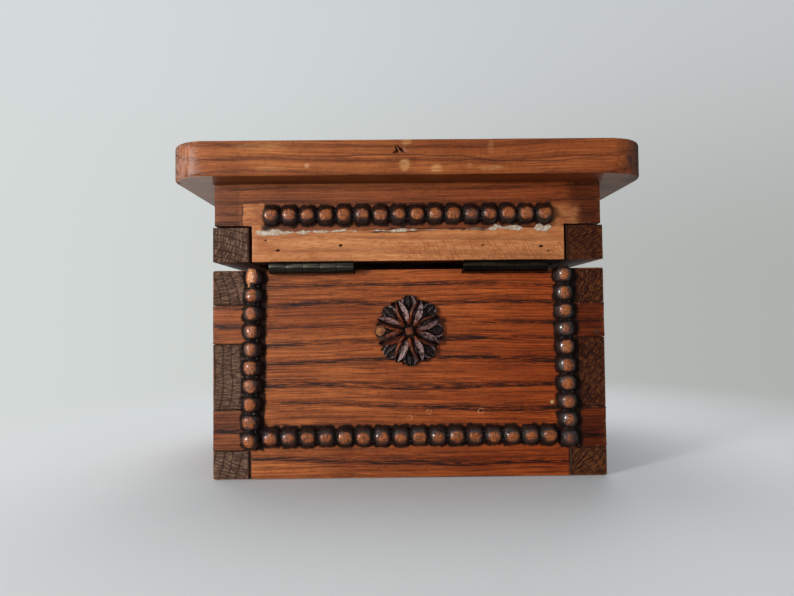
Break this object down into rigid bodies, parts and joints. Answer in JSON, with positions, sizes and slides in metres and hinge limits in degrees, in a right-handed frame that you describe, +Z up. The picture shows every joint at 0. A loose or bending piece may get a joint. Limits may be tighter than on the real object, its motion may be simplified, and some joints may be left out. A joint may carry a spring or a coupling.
{
  "type": "carved wooden box",
  "caption": "Small carved wooden box with finger-jointed boards, applied beading and rosettes, and a hinged framed lid under a thick overhanging slab.",
  "frame": {"origin": "on the table under the middle of the box", "axes": "+X along the width, +Y from the front to the hinged back, +Z up"},
  "size_m": [0.2128, 0.1628, 0.1509],
  "materials": {
    "body_oak": "warm brown stained oak under worn polish",
    "slab_oak": "golden brown oak, worn polish",
    "panel_oak": "plain planed oak, unpolished",
    "stained_beading": "near-black stain rubbed through to red-brown on the beads' crests",
    "stained_carving": "near-black stain, red-brown on the high spots",
    "hinge_metal": "brass darkened to olive black",
    "steel": "dull darkened steel"
  },
  "bodies": {
    "box": {"box_front_board": "body_oak", "box_back_board": "body_oak", "box_left_board": "body_oak", "box_right_board": "body_oak", "box_bottom_panel": "panel_oak", "front_bead_row": "stained_beading", "front_bead_column_left": "stained_beading", "front_bead_column_right": "stained_beading", "back_bead_row": "stained_beading", "back_bead_column_left": "stained_beading", "back_bead_column_right": "stained_beading", "left_bead_row": "stained_beading", "left_bead_column_front": "stained_beading", "left_bead_column_back": "stained_beading", "right_bead_row": "stained_beading", "right_bead_column_front": "stained_beading", "right_bead_column_back": "stained_beading", "front_rosette": "stained_carving", "back_rosette": "stained_carving", "left_rosette": "stained_carving", "right_rosette": "stained_carving", "box_bead_sprigs": "steel", "box_hinge_leaf_left": "hinge_metal", "box_hinge_leaf_right": "hinge_metal", "hinge_pin_left": "steel", "hinge_pin_right": "steel", "box_hinge_screws": "steel"},
    "lid": {"lid_slab": "slab_oak", "lid_front_board": "body_oak", "lid_back_board": "body_oak", "lid_left_board": "body_oak", "lid_right_board": "body_oak", "lid_front_bead_row": "stained_beading", "lid_back_bead_row": "stained_beading", "lid_left_bead_row": "stained_beading", "lid_right_bead_row": "stained_beading", "lid_bead_sprigs": "steel", "lid_hinge_leaf_left": "hinge_metal", "lid_hinge_leaf_right": "hinge_metal", "lid_hinge_screws": "steel"}
  },
  "joints": [
    {"name": "lid_hinge", "type": "hinge", "parent": "box", "child": "lid", "pos_m": [0, 0.0684, 0.0961], "axis": [-1, 0, 0], "range_deg": [0, 158]}
  ]
}
